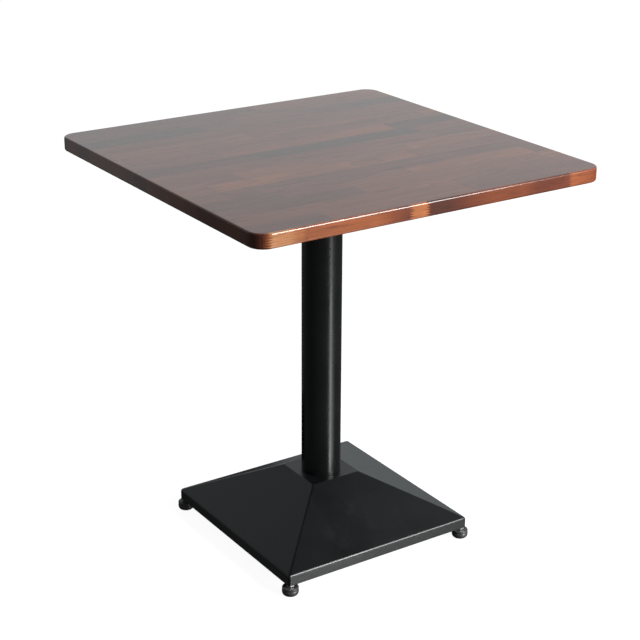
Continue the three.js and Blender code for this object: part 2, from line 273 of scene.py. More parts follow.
def make_world():
    """White to the camera. To the table it is the backdrop, the room and the ground."""
    world = bpy.data.worlds.new("studio")
    bpy.context.scene.world = world
    world.use_nodes = True
    tree = world.node_tree
    tree.nodes.clear()
    way = tree.nodes.new("ShaderNodeTexCoord").outputs["Generated"]
    height = vector_calc(tree, "DOT_PRODUCT", way, (0, 0, 1))
    ahead = vector_calc(tree, "DOT_PRODUCT", way, BACKDROP_WAY)
    backdrop = times(
        tree,
        spread(tree, ahead, *BACKDROP_SIDES, smooth=True),
        times(
            tree,
            spread(tree, height, *BACKDROP_TOP, 1, 0, smooth=True),
            spread(tree, height, *BACKDROP_STEP, 1, BACKDROP_UPPER_SHARE, smooth=True),
        ),
        spread(tree, height, *BACKDROP_FOOT, smooth=True),
    )
    ground = spread(tree, height, *GROUND_EDGE, 1, 0, smooth=True)
    lit = blend_colours(tree, ground, ROOM_LIGHT, GROUND_LIGHT)
    lit = blend_colours(tree, backdrop, lit, BACKDROP_LIGHT)
    seen = tree.nodes.new("ShaderNodeLightPath").outputs["Is Camera Ray"]
    shown = blend_colours(tree, seen, lit, (1, 1, 1))
    light = add_node(tree, "ShaderNodeBackground", {"Color": shown, "Strength": 1})
    output = tree.nodes.new("ShaderNodeOutputWorld")
    tree.links.new(light.outputs[0], output.inputs["Surface"])


def stage_card(name, points, material_name, grain_scale, tint_range, hidden_from, glow=0):
    """A matt four-cornered card that belongs to the stage and is hidden from some rays."""
    card = mesh_object(name, points, [(0, 1, 2, 3)])
    material, tree, shader, place = new_material(material_name)
    tint = spread(tree, noise(tree, place, grain_scale, detail=2), 0.3, 0.7, *tint_range)
    set_inputs(tree, shader, {
        "Base Color": grey(tree, tint),
        "Roughness": 1.0,
        "Specular IOR Level": 0.0,
        "Emission Color": (1, 1, 1, 1),
        "Emission Strength": glow,
    })
    card.data.materials.append(material)
    for rays in hidden_from:
        setattr(card, f"visible_{rays}", False)


def make_floor():
    """A plain pale floor that glows enough to look evenly lit, and takes soft shadows."""
    points = [(x * FLOOR_HALF, y * FLOOR_HALF, 0) for x, y in CORNERS.values()]
    hidden_from = ("diffuse", "glossy", "shadow")
    stage_card("floor", points, "pale_floor", 60, (0.20, 0.22), hidden_from, FLOOR_GLOW)


def make_flag():
    """A dark board that keeps the base's far slope dark."""
    (left, low), (right, high) = FLAG["from"], FLAG["to"]
    places = ((left, low), (right, low), (right, high), (left, high))
    points = [(x, FLAG["behind"], z) for x, z in places]
    stage_card("flag", points, "black_felt", 300, (0.004, 0.008), ("camera", "diffuse", "shadow"))


def make_area_light(name, size, place, facing, brightness, only_gloss):
    """An upright rectangle of light. size is (width, height)."""
    data = bpy.data.lights.new(name, "AREA")
    data.shape = "RECTANGLE"
    data.size, data.size_y = size
    data.energy = brightness * math.pi * size[0] * size[1]
    light = bpy.data.objects.new(name, data)
    bpy.context.scene.collection.objects.link(light)
    back = -Vector(facing).normalized()
    across = Vector((0, 0, 1)).cross(back).normalized()
    turn = Matrix((across, back.cross(across), back)).transposed().to_4x4()
    light.matrix_world = Matrix.Translation(place) @ turn
    light.visible_camera = False
    light.visible_diffuse = not only_gloss


def make_lights():
    """The soft boxes and the side card, all facing the table."""
    for name, (azimuth, distance, low, high, width, brightness, matt) in SOFT_BOXES.items():
        turn = math.radians(azimuth)
        way = Vector((math.sin(turn), -math.cos(turn), 0))
        place = way * distance + Vector((0, 0, (low + high) / 2))
        make_area_light(name, (width, high - low), place, -way, brightness, not matt)
    make_area_light("side_card", SIDE_CARD["size"], SIDE_CARD["place"], (1, 0, 0),
                    SIDE_CARD["brightness"], True)


# ---- Mesh helpers ----

def mesh_object(name, points, faces):
    """A mesh object at the origin."""
    mesh = bpy.data.meshes.new(name)
    mesh.from_pydata(points, [], faces)
    piece = bpy.data.objects.new(name, mesh)
    bpy.context.scene.collection.objects.link(piece)
    return piece


def soften(piece, angle=35):
    """Smooth shading up to an angle in degrees, with flat faces kept flat."""
    piece.data.shade_smooth()
    piece.data.set_sharp_from_angle(angle=math.radians(angle))
    modifier = piece.modifiers.new("flat faces", "WEIGHTED_NORMAL")
    modifier.keep_sharp = True
    modifier.weight = 100


def apply_modifiers(piece):
    """Makes what the modifiers show the piece's own mesh."""
    mesh = bpy.data.meshes.new_from_object(piece.evaluated_get(bpy.context.evaluated_depsgraph_get()))
    old = piece.data
    piece.modifiers.clear()
    piece.data = mesh
    bpy.data.meshes.remove(old)
    mesh.name = piece.name


def combine(piece, other, operation):
    """UNION, DIFFERENCE or INTERSECT of two closed meshes; the second one is used up."""
    modifier = piece.modifiers.new("join", "BOOLEAN")
    modifier.operation = operation
    modifier.solver = "MANIFOLD"
    modifier.object = other
    apply_modifiers(piece)
    bpy.data.objects.remove(other)
    return piece


def cut(piece, tool):
    """Takes the tool's shape away."""
    return combine(piece, tool, "DIFFERENCE")


def join(piece, other):
    """Makes two solids one."""
    return combine(piece, other, "UNION")


def move(piece, x=0, y=0, turn=0):
    """Turns a mesh about Z and then moves it, in its own points."""
    piece.data.transform(Matrix.Translation((x, y, 0)) @ Matrix.Rotation(turn, 4, "Z"))
    return piece


def rounded(outline, radius, steps=4):
    """A loop of points with an arc at each corner. radius is one number or one for each point."""
    count = len(outline)
    result = []
    for i, here in enumerate(outline):
        size = radius[i] if isinstance(radius, (list, tuple)) else radius
        if size == 0:
            result.append(here)
            continue
        corner = Vector(here)
        back = Vector(outline[i - 1]) - corner
        on = Vector(outline[(i + 1) % count]) - corner
        back.normalize()
        on.normalize()
        half = back.angle(on) / 2
        reach = size / math.tan(half)
        centre = corner + (back + on).normalized() * size / math.sin(half)
        first, last = corner + back * reach - centre, corner + on * reach - centre
        sweep = math.pi - 2 * half
        for k in range(steps + 1):
            share = k / steps
            arm = first * math.sin((1 - share) * sweep) + last * math.sin(share * sweep)
            result.append(tuple(centre + arm / math.sin(sweep)))
    return result


def stitch(rings, closed=False):
    """(points, faces) of a skin through rings of equal length. A ring of one point is a tip.

    With closed, the last ring joins the first. Otherwise both ends are capped.
    """
    points, starts = [], []
    for ring in rings:
        starts.append(len(points))
        points.extend(ring)
    faces = []
    for low in range(len(rings) if closed else len(rings) - 1):
        high = (low + 1) % len(rings)
        count = max(len(rings[low]), len(rings[high]))
        a, b = starts[low], starts[high]
        for i in range(count):
            j = (i + 1) % count
            if len(rings[low]) == 1:
                faces.append((a, b + j, b + i))
            elif len(rings[high]) == 1:
                faces.append((a + i, a + j, b))
            else:
                faces.append((a + i, a + j, b + j, b + i))
    if not closed:
        caps = (range(len(rings[0]) - 1, -1, -1), range(starts[-1], len(points)))
        faces.extend(tuple(cap) for cap in caps if len(cap) > 1)
    return points, faces


def circle(radius, height, segments):
    """A level ring of points about Z, or one point where the radius is 0."""
    turns = [2 * math.pi * i / segments for i in range(segments if radius else 1)]
    return [(radius * math.cos(turn), radius * math.sin(turn), height) for turn in turns]


def turned(name, profile, segments=48, closed=False):
    """A solid of revolution about Z from (radius, height) pairs, upwards along its outside."""
    rings = [circle(radius, height, segments) for radius, height in profile]
    return mesh_object(name, *stitch(rings, closed=closed))


def cylinder(radius, bottom, top, segments=32):
    """A solid cylinder about Z."""
    return turned("cylinder", [(0, bottom), (radius, bottom), (radius, top), (0, top)], segments)


def square_ring(half, corner, height, steps=6):
    """A square with round corners, level, about Z."""
    ring = []
    for quarter, (right, back) in enumerate(((1, 1), (-1, 1), (-1, -1), (1, -1))):
        for i in range(steps + 1):
            angle = (quarter + i / steps) * math.pi / 2
            ring.append((
                right * (half - corner) + corner * math.cos(angle),
                back * (half - corner) + corner * math.sin(angle),
                height,
            ))
    return ring


def square_solid(name, profile, steps=6):
    """A solid of square sections from (half width, height, corner radius), upwards."""
    return mesh_object(name, *stitch([square_ring(w, c, h, steps) for w, h, c in profile]))


def extruded(name, outline, bottom, top):
    """A level outline, counter-clockwise, made into a straight solid."""
    rings = [[(x, y, height) for x, y in outline] for height in (bottom, top)]
    return mesh_object(name, *stitch(rings))


def box_solid(name, low, high):
    """A box from its lowest corner to its highest."""
    (a, b, c), (d, e, f) = low, high
    return extruded(name, [(a, b), (d, b), (d, e), (a, e)], c, f)


def hexagon(flats):
    """A hexagon's corners from its width across flats, the first on +X."""
    radius = flats / math.sqrt(3)
    return [(radius * math.cos(math.pi * i / 3), radius * math.sin(math.pi * i / 3)) for i in range(6)]


def stand_in(piece, body, slot, material, *nodes):
    """Gives a piece its material and its body, and hides the CAD nodes that it stands for. The slot is
    not used.
    """
    piece.data.materials.clear()
    piece.data.materials.append(material)
    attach(piece, body)
    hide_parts(*nodes)


# ---- Wood ----

TOP_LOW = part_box("tabletop")[0].z
TOP_HALF, _, TOP_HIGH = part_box("tabletop")[1]

STAVES = 16
STAVE_WIDTH = 2 * TOP_HALF / STAVES
STAVE_TRIM = 38.5 * MM  # how much of the front stave was sawn off
PIECE_LENGTHS = (0.26, 0.42)
FINGER_PITCH = 4.2 * MM
FINGER_SLOPE = 4.2
RING_WIDTH = 3.4 * MM
HEART_ASIDE = (-0.05, 0.05)  # where the middle of the tree lies, from the stave's middle
HEART_BELOW = (0.03, 0.12)
RING_WAVE = 30 * MM
RING_RIPPLE = 1.6 * MM

WOOD_TONES = [
    (0.00, (0.055, 0.019, 0.0130)),
    (0.22, (0.102, 0.028, 0.0150)),
    (0.50, (0.172, 0.048, 0.0195)),
    (0.75, (0.245, 0.075, 0.0280)),
    (0.92, (0.320, 0.115, 0.0420)),
    (1.00, (0.460, 0.215, 0.0950)),
]
LATE_WOOD = [(0.0, 0.25), (0.55, 0.45), (0.9, 1.0), (1.0, 0.25)]  # how dark a year's ring is across it
RING_SHADE = (0.40, 0.32, 0.30)
CLOUD_SHADE = (1.35, 1.38, 1.35)
PORE_COLOUR = (0.020, 0.009, 0.006)
GLUE_COLOUR = (0.018, 0.008, 0.006)
GLUE_SHARE = 0.55
GLUE_BETWEEN_STAVES = (0.004, 0.012)  # where it fades, in stave widths from the joint
GLUE_BETWEEN_LENGTHS = (0.2 * MM, 0.6 * MM)
TREE_STEPS = (40, 40, 40)  # how far apart in the tree the lengths may lie
FRONT_TREE_STEPS = (0, 0, 37)
PLAIN_TONES = (0.12, 0.60)  # the range of the lengths behind the front stave
# Where the lengths of the front stave start, and how light it is along the way. Painted shade darkens
# both of its rounded ends, and the light stretch by the left end is partly a painted highlight
FRONT_JOINTS = [-0.350, -0.262, -0.062, -0.027, 0.275]
FRONT_TONES_AND_CORNER_SHADE = [
    (-0.350, 0.10), (-0.339, 0.16), (-0.325, 0.98), (-0.290, 0.97), (-0.263, 0.86),
    (-0.262, 0.64), (-0.190, 0.67), (-0.130, 0.76), (-0.105, 0.56), (-0.085, 0.36), (-0.063, 0.24),
    (-0.062, 0.80), (-0.028, 0.90),
    (-0.027, 0.05), (0.020, 0.10), (0.060, 0.34), (0.110, 0.48), (0.170, 0.42), (0.205, 0.20),
    (0.240, 0.22), (0.274, 0.26),
    (0.275, 0.60), (0.310, 0.50), (0.330, 0.40), (0.346, 0.15),
]
LACQUER = {"Specular IOR Level": 0.06, "Coat Weight": 0.9, "Coat Roughness": 0.19, "Coat IOR": 1.5}


def share_along(x):
    """How far along the board x is, from 0 to 1."""
    return (x + TOP_HALF) / (2 * TOP_HALF)


def grey_ramp(tree, value, stops, constant=False):
    """A number that follows (place, level) pairs."""
    return colour_ramp(tree, value, [(place, (level,) * 3) for place, level in stops], constant)


def wood_lengths(tree, here, x, y, z):
    """The stave and the finger-jointed length that a point is in, and what differs between them. The
    front stave's tone also holds painted shade at its rounded ends.
    """
    row = calc(tree, "DIVIDE", plus(tree, y, TOP_HALF + STAVE_TRIM), STAVE_WIDTH)
    row_number = calc(tree, "FLOOR", row)
    row_random = add_node(tree, "ShaderNodeTexWhiteNoise", {"W": row_number}, noise_dimensions="1D")
    row_parts = add_node(tree, "ShaderNodeSeparateColor", {"Color": row_random.outputs["Color"]})
    tooth = calc(tree, "PINGPONG", plus(tree, z, 1), FINGER_PITCH / 2)
    along = plus(tree, x, times(tree, minus(tree, tooth, FINGER_PITCH / 4), FINGER_SLOPE))
    length = spread(tree, row_parts.outputs[0], 0, 1, *PIECE_LENGTHS)
    piece = calc(tree, "DIVIDE", plus(tree, along, 1, row_parts.outputs[1]), length)

    is_front = calc(tree, "LESS_THAN", row, 1)
    front_share = calc(tree, "DIVIDE", plus(tree, along, TOP_HALF), 2 * TOP_HALF)
    joints = [(share_along(start), k / 10) for k, start in enumerate(FRONT_JOINTS)]
    front_number = grey_ramp(tree, front_share, joints, constant=True)
    # how light the front stave is along the way, with painted shade at both rounded ends and a partly
    # painted highlight by the left end
    front_tone_and_shade = grey_ramp(tree, front_share, [(share_along(at), tone) for at, tone in FRONT_TONES_AND_CORNER_SHADE])

    number = add_node(tree, "ShaderNodeCombineXYZ", {"X": calc(tree, "FLOOR", piece), "Y": row_number})
    piece_random = add_node(tree, "ShaderNodeTexWhiteNoise", {"Vector": number.outputs[0]},
                            noise_dimensions="3D")
    parts = add_node(tree, "ShaderNodeSeparateColor", {"Color": piece_random.outputs["Color"]})
    plain_tone = spread(tree, parts.outputs[0], 0, 1, *PLAIN_TONES)
    tone = plus(tree, times(tree, is_front, front_tone_and_shade),
                times(tree, minus(tree, 1, is_front), plain_tone))

    # each length is cut from its own place in a tree, far from the others
    offset = vector_calc(tree, "MULTIPLY_ADD", piece_random.outputs["Color"], TREE_STEPS,
                         number.outputs[0])
    front_shift = add_node(tree, "ShaderNodeCombineXYZ", {"Z": times(tree, front_number, is_front)})
    offset = vector_calc(tree, "MULTIPLY_ADD", front_shift.outputs[0], FRONT_TREE_STEPS, offset)
    return SimpleNamespace(
        row=row, piece=piece, length=length, is_front=is_front, tone=tone,
        heart_y=spread(tree, parts.outputs[1], 0, 1, *HEART_ASIDE),
        heart_z=spread(tree, parts.outputs[2], 0, 1, *HEART_BELOW),
        inside=vector_calc(tree, "ADD", here, offset),
    )


def wood_rings(tree, wood, z):
    """How dark the year's ring is at a point: rings round a heart below the board, a little wavy."""
    wave = noise(tree, wood.inside, 9, detail=2, stretch=(0.35, 1, 1))
    ripple = noise(tree, wood.inside, 60, detail=2, stretch=(0.10, 1, 1))
    across = minus(tree, times(tree, off_middle(tree, wood.row), STAVE_WIDTH), wood.heart_y)
    down = plus(tree, minus(tree, z, TOP_HIGH), wood.heart_z)
    far = calc(tree, "SQRT", plus(tree, calc(tree, "POWER", across, 2), calc(tree, "POWER", down, 2)))
    far = plus(tree, far, times(tree, minus(tree, wave, 0.5), RING_WAVE),
               times(tree, minus(tree, ripple, 0.5), RING_RIPPLE))
    return grey_ramp(tree, calc(tree, "FRACT", calc(tree, "DIVIDE", far, RING_WIDTH)), LATE_WOOD)


def glue_lines(tree, wood):
    """1 in the joints between staves and between lengths, and 0 elsewhere."""
    row_edge = calc(tree, "ABSOLUTE", off_middle(tree, plus(tree, wood.row, 0.5)))
    piece_edge = calc(tree, "ABSOLUTE", off_middle(tree, plus(tree, wood.piece, 0.5)))
    piece_edge = plus(tree, times(tree, piece_edge, wood.length), wood.is_front)
    return calc(tree, "MAXIMUM", spread(tree, row_edge, *GLUE_BETWEEN_STAVES, 1, 0),
                spread(tree, piece_edge, *GLUE_BETWEEN_LENGTHS, 1, 0))


def wood_material():
    """Glued staves that run along X, each of finger-jointed lengths, under a satin lacquer."""
    material, tree, shader, here = new_material("lacquered_wood")
    x, y, z = add_node(tree, "ShaderNodeSeparateXYZ", {"Vector": here}).outputs
    wood = wood_lengths(tree, here, x, y, z)
    streak = noise(tree, wood.inside, 170, detail=3, roughness=0.6, stretch=(0.035, 1, 1))
    pores = spread(tree, noise(tree, wood.inside, 900, detail=1, stretch=(0.03, 1, 1)), 0.60, 0.72,
                   smooth=True)
    cloud = noise(tree, wood.inside, 14, detail=2, stretch=(0.3, 1, 1))
    glue = glue_lines(tree, wood)

    # the wood's tone, which holds painted shade at the front stave's rounded ends
    base = colour_ramp(tree, wood.tone, WOOD_TONES)
    dark = blend_colours(tree, 1.0, base, RING_SHADE, "MULTIPLY")
    figure = times(tree, wood_rings(tree, wood, z), spread(tree, streak, 0.25, 0.75, 0.25, 0.85))
    colour = blend_colours(tree, figure, base, dark)
    light = blend_colours(tree, 1.0, colour, CLOUD_SHADE, "MULTIPLY")
    colour = blend_colours(tree, spread(tree, cloud, 0.40, 0.72, smooth=True), colour, light)
    colour = blend_colours(tree, times(tree, pores, 0.55), colour, PORE_COLOUR)
    colour = blend_colours(tree, times(tree, glue, GLUE_SHARE), colour, GLUE_COLOUR)
    gloss = plus(tree, spread(tree, streak, 0.2, 0.8, 0.36, 0.46), times(tree, pores, 0.08))
    set_inputs(tree, shader, {"Base Color": colour, "Roughness": gloss, **LACQUER})
    height = minus(tree, times(tree, streak, 0.5), times(tree, pores, 0.6), glue)
    set_bump(tree, shader, height, 0.12 * MM, 0.6)
    return material


# ---- Coating, zinc and plastic ----

TUBE_COAT = {"base": (0.0048, 0.0050, 0.0052), "roughness": 0.25, "peel": 0.05 * MM}
CAST_COAT = {"base": (0.0031, 0.0039, 0.0041), "roughness": 0.32, "peel": 0.06 * MM}
FLECK_GAIN = 2.2  # how much lighter a fleck of dust is than the coat
ZINC_TINTS = [(0.30, (0.56, 0.57, 0.60)), (0.52, (0.66, 0.65, 0.62)), (0.72, (0.60, 0.58, 0.50))]
PLASTIC_COLOUR = (0.045, 0.045, 0.046)
WORN_PLASTIC_COLOUR = (0.08, 0.078, 0.075)


def powder_coat(name, base, roughness, peel, as_cast=False):
    """Satin black powder coat with a fine orange peel. A casting is coarser where it faces down."""
    material, tree, shader, here = new_material(name)
    height = noise(tree, here, 420, detail=2, roughness=0.5)
    cloud = noise(tree, here, 9, detail=3)
    fleck = spread(tree, noise(tree, here, 2600, detail=1), 0.62, 0.80, 0, 0.5, smooth=True)
    colour = blend_colours(tree, fleck, base, tuple(FLECK_GAIN * part for part in base))
    shade = grey(tree, spread(tree, cloud, 0.3, 0.7, 0.85, 1.15))
    colour = blend_colours(tree, 1.0, colour, shade, "MULTIPLY")
    gloss = spread(tree, cloud, 0.3, 0.7, roughness - 0.03, roughness + 0.05)
    if as_cast:
        facing = tree.nodes.new("ShaderNodeTexCoord").outputs["Normal"]
        down = spread(tree, vector_calc(tree, "DOT_PRODUCT", facing, (0, 0, -1)), 0.05, 0.3)
        up = spread(tree, vector_calc(tree, "DOT_PRODUCT", facing, (0, 0, 1)), 0.5, 0.8)
        sand = noise(tree, here, 700, detail=4, roughness=0.7)
        height = plus(tree, height, times(tree, down, times(tree, sand, 3.0)))
        smudge = noise(tree, here, 24, detail=5, roughness=0.7, stretch=(1, 0.45, 1))
        smudge = times(tree, spread(tree, smudge, 0.52, 0.72, smooth=True), up)
        gloss = plus(tree, gloss, times(tree, down, 0.22), times(tree, smudge, 0.07))
    set_inputs(tree, shader, {"Base Color": colour, "Roughness": gloss, "Specular IOR Level": 0.45})
    set_bump(tree, shader, height, peel)
    return material


def zinc_material():
    """Bright zinc plate, faintly brushed, with a passivation tint that drifts."""
    material, tree, shader, here = new_material("zinc_plate")
    cloud = noise(tree, here, 90, detail=2)
    scratch = noise(tree, here, 1500, detail=2, stretch=(1, 1, 0.12))
    colour = colour_ramp(tree, cloud, ZINC_TINTS)
    gloss = spread(tree, scratch, 0.3, 0.7, 0.24, 0.40)
    set_inputs(tree, shader, {"Base Color": colour, "Metallic": 1.0, "Roughness": gloss})
    set_bump(tree, shader, scratch, 0.02 * MM)
    return material


def plastic_material():
    """Black moulded plastic, fine-grained, with worn lighter patches low down."""
    material, tree, shader, here = new_material("foot_plastic")
    grain = noise(tree, here, 1800, detail=2)
    cloud = noise(tree, here, 110, detail=3)
    height = add_node(tree, "ShaderNodeSeparateXYZ", {"Vector": here}).outputs[2]
    low = spread(tree, height, 0.5 * MM, 4 * MM, 1, 0, smooth=True)
    wear = times(tree, low, spread(tree, cloud, 0.4, 0.7))
    colour = blend_colours(tree, wear, PLASTIC_COLOUR, WORN_PLASTIC_COLOUR)
    gloss = spread(tree, cloud, 0.3, 0.7, 0.33, 0.46)
    set_inputs(tree, shader, {"Base Color": colour, "Roughness": gloss, "Specular IOR Level": 0.5})
    set_bump(tree, shader, grain, 0.04 * MM)
    return material


# ---- Tabletop ----

TOP_CORNER = 28 * MM
TOP_ARRIS = 3 * MM
TOP_LOWER_ARRIS = 4 * MM
PILOT_SPARE = 1 * MM  # how far a screw's hole runs past its tip


def tabletop(material):
    """A square board with round corners, a small upper arris and a softer lower one."""
    flat_half = TOP_HALF - 3 * TOP_LOWER_ARRIS
    rim = rounded([
        (flat_half, TOP_LOW), (TOP_HALF, TOP_LOW), (TOP_HALF, TOP_HIGH), (flat_half, TOP_HIGH),
    ], [0, TOP_LOWER_ARRIS, TOP_ARRIS, 0], steps=8)
    board = mesh_object("board", *stitch([
        square_ring(half, TOP_CORNER - (TOP_HALF - half), height, steps=16) for half, height in rim
    ]))
    for name, centre in screw_places():
        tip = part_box(f"top_screw_{name}")[1].z
        pilot = cylinder(SCREW_HOLE_RADIUS, TOP_LOW - PAST, tip + PILOT_SPARE, 24)
        cut(board, move(pilot, centre.x, centre.y))
    soften(board)
    stand_in(board, "root", "tabletop_wood", material, "tabletop")


# ---- Column ----

TUBE_LIP = 0.6 * MM


def column(material):
    """A plain round tube with its ends' edges broken."""
    low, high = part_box("column_tube")
    inside = high.x - TUBE_WALL
    outline = rounded([
        (inside, low.z), (high.x, low.z), (high.x, high.z), (inside, high.z),
    ], TUBE_LIP, steps=3)
    tube = turned("tube", outline, segments=128, closed=True)
    soften(tube)
    stand_in(tube, "root", "coated_steel", material, "column_tube")


# ---- Base: one hollow casting ----

BASE_LOW, BASE_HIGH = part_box("base_casting")
BASE_HALF = BASE_HIGH.x
PAD_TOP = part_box("column_tube")[0].z
PAD_HALF = 52.25 * MM
PAD_BEND = 2.4 * MM
SKIRT_BOTTOM = BASE_LOW.z
SKIRT_TOP = SKIRT_BOTTOM + 20 * MM
SKIRT_FOOT_BEND = 0.8 * MM
SKIRT_BEND = 5.5 * MM
SKIRT_BEND_REACH = 5 * MM  # from the side to where the roof is straight
SKIRT_CORNER = 4 * MM
HIP_CORNER = 2.8 * MM
HIP_BLEND = 14 * MM  # how far the skirt's rounder corner runs up the hip
HIP_STEPS = 8
CASTING_WALL = 5 * MM
ROOF_SLOPE = (PAD_TOP - SKIRT_TOP) / (BASE_HALF - PAD_HALF)
ROOF_DROP = CASTING_WALL * math.hypot(1, ROOF_SLOPE)
HOLLOW_CORNER = 1 * MM
RIB_THICKNESS = 6 * MM
RIB_DEPTH = 16 * MM
RIB_RIM = 15 * MM
BOSS_RADIUS = 23 * MM
FOOT_BOSS_RADIUS = 13 * MM
STUD_SPARE = 2 * MM  # how far a stud's hole runs past it
SPIGOT_BEND = 1.5 * MM
CAST_VOXEL = 1.8 * MM
CAST_SMOOTHING = 6


def cast_fillets(piece, voxel, repeat):
    """Rounds every edge and inner corner of a solid, as a mould's are."""
    remesh = piece.modifiers.new("voxels", "REMESH")
    remesh.mode = "VOXEL"
    remesh.voxel_size = voxel
    smooth = piece.modifiers.new("smooth", "SMOOTH")
    smooth.factor = 0.5
    smooth.iterations = repeat
    apply_modifiers(piece)


def roof_hollow(name, rim, drop):
    """The space under the roof, `drop` below its outside and `rim` inside the skirt."""
    side = BASE_HALF - rim
    edge = SKIRT_TOP + rim * ROOF_SLOPE - drop
    ceiling = PAD_TOP - drop
    ceiling_half = BASE_HALF - (ceiling + drop - SKIRT_TOP) / ROOF_SLOPE
    corners = ((side, 0), (side, edge), (ceiling_half, ceiling))
    return square_solid(name, [(half, height, HOLLOW_CORNER) for half, height in corners], steps=1)


def base_outside():
    """The skirt, the roof and the pad. Its corners get sharper from the skirt up the hips."""
    slope = rounded([
        (BASE_HALF - 3 * MM, SKIRT_BOTTOM), (BASE_HALF, SKIRT_BOTTOM), (BASE_HALF, SKIRT_TOP),
        (PAD_HALF, PAD_TOP), (PAD_HALF - 6 * MM, PAD_TOP),
    ], [0, SKIRT_FOOT_BEND, SKIRT_BEND, PAD_BEND, 0], steps=8)
    start = max(i for i, (half, _) in enumerate(slope) if half > BASE_HALF - SKIRT_BEND_REACH)
    roof_half, roof_height = slope[start]
    inwards = [k / HIP_STEPS * HIP_BLEND / ROOF_SLOPE for k in range(1, HIP_STEPS + 1)]
    hip = [(roof_half - step, roof_height + step * ROOF_SLOPE) for step in inwards]
    profile = []
    for half, height in slope[:start + 1] + hip + slope[start + 1:]:
        share = min(1, max(0, (height - roof_height) / HIP_BLEND))
        corner = SKIRT_CORNER + (HIP_CORNER - SKIRT_CORNER) * share
        if height < SKIRT_BOTTOM + SKIRT_FOOT_BEND:
            corner -= min(SKIRT_FOOT_BEND, max(0, BASE_HALF - half))
        profile.append((half, height, corner))
    return square_solid("base", profile)


def base_rib(turn):
    """A plate on a diagonal, longer and deeper than the base."""
    reach, half = 1.5 * BASE_HALF, RIB_THICKNESS / 2
    return move(box_solid("rib", (-reach, -half, -PAST), (reach, half, PAD_TOP)), turn=turn)


def base_casting(material):
    """A hollow pyramid with crossed ribs, bosses for the rod and the feet, and a spigot on its pad."""
    inner = join(base_rib(math.pi / 4), base_rib(-math.pi / 4))
    cut(inner, roof_hollow("below ribs", RIB_RIM, ROOF_DROP + RIB_DEPTH))
    boss_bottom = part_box("tie_rod_washer")[1].z
    join(inner, cylinder(BOSS_RADIUS, boss_bottom, PAD_TOP))
    for x, y in CORNERS.values():
        boss = move(cylinder(FOOT_BOSS_RADIUS, -PAST, PAD_TOP), x * FOOT_PLACE, y * FOOT_PLACE)
        join(inner, boss)
    space = cut(roof_hollow("space", CASTING_WALL, ROOF_DROP), inner)
    cast_fillets(space, CAST_VOXEL, CAST_SMOOTHING)
    base = cut(base_outside(), space)

    bore = SPIGOT_RADIUS - SPIGOT_WALL
    spigot = rounded([
        (bore, PAD_TOP - OVERLAP), (SPIGOT_RADIUS, PAD_TOP - OVERLAP),
        (SPIGOT_RADIUS, BASE_HIGH.z), (bore, BASE_HIGH.z),
    ], [0, 0, SPIGOT_BEND, SPIGOT_BEND], steps=3)
    join(base, turned("spigot", spigot, segments=64, closed=True))
    cut(base, cylinder(ROD_HOLE_RADIUS, 0, BASE_HIGH.z + OVERLAP))
    for x, y in CORNERS.values():
        hole = cylinder(STUD_HOLE_RADIUS, 0, STUD_HIGH.z + STUD_SPARE)
        cut(base, move(hole, x * FOOT_PLACE, y * FOOT_PLACE))
    soften(base, 30)
    stand_in(base, "root", "coated_cast_iron", material, "base_casting")


# ---- Spider: the cast cross under the top ----

COLUMN_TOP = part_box("column_tube")[1].z
HUB_RADIUS = 55 * MM
CORE_RADIUS = 18 * MM
CORE_DEPTH = 12 * MM
ARM_REACH = 232 * MM
ARM_ROOT_HALF = 27 * MM
ARM_TIP_HALF = 17 * MM
ARM_TIP_STEPS = 20
ARM_WALL = 4 * MM
ARM_WALL_START = 42 * MM
ARM_WALL_SHOULDER = 62 * MM
ARM_WALL_DEPTH = 9 * MM
ARM_WALL_TIP_DEPTH = 3 * MM
SPIDER_SPARE = 4 * MM  # cast this much too high, and then cut flat
SPIDER_VOXEL = 1.3 * MM
SPIDER_SMOOTHING = 5
FAR_BELOW, FAR_ABOVE = 0.5, 1  # heights clear of the spider, for the ends of cutting tools


def arm_outline(start, inset):
    """An arm along +X, made smaller all round by `inset`, counter-clockwise."""
    root, tip = ARM_ROOT_HALF - inset, ARM_TIP_HALF - inset
    centre = ARM_REACH - ARM_TIP_HALF
    end = [
        (centre + tip * math.sin(angle), -tip * math.cos(angle))
        for angle in (math.pi * k / ARM_TIP_STEPS for k in range(ARM_TIP_STEPS + 1))
    ]
    return [(start, -root), *end, (start, root)]


def spider_arm():
    """An upside-down tray that tapers in width and depth from the hub to its round tip."""
    top, under = SPIDER_HIGH.z + SPIDER_SPARE, SPIDER_HIGH.z - ARM_THICKNESS
    side = [
        (0, top), (0, COLUMN_TOP), (ARM_WALL_START, COLUMN_TOP),
        (ARM_WALL_START, under - ARM_WALL_DEPTH), (ARM_WALL_SHOULDER, under - ARM_WALL_DEPTH),
        (ARM_REACH + PAST, under - ARM_WALL_TIP_DEPTH), (ARM_REACH + PAST, top),
    ]
    arm = extruded("arm", side, -2 * ARM_ROOT_HALF, 2 * ARM_ROOT_HALF)
    arm.data.transform(Matrix.Rotation(math.pi / 2, 4, "X"))
    combine(arm, extruded("plan", arm_outline(0, 0), 0, FAR_ABOVE), "INTERSECT")
    tray = extruded("tray", arm_outline(ARM_WALL_START + ARM_WALL, ARM_WALL), FAR_BELOW, under)
    return cut(arm, tray)


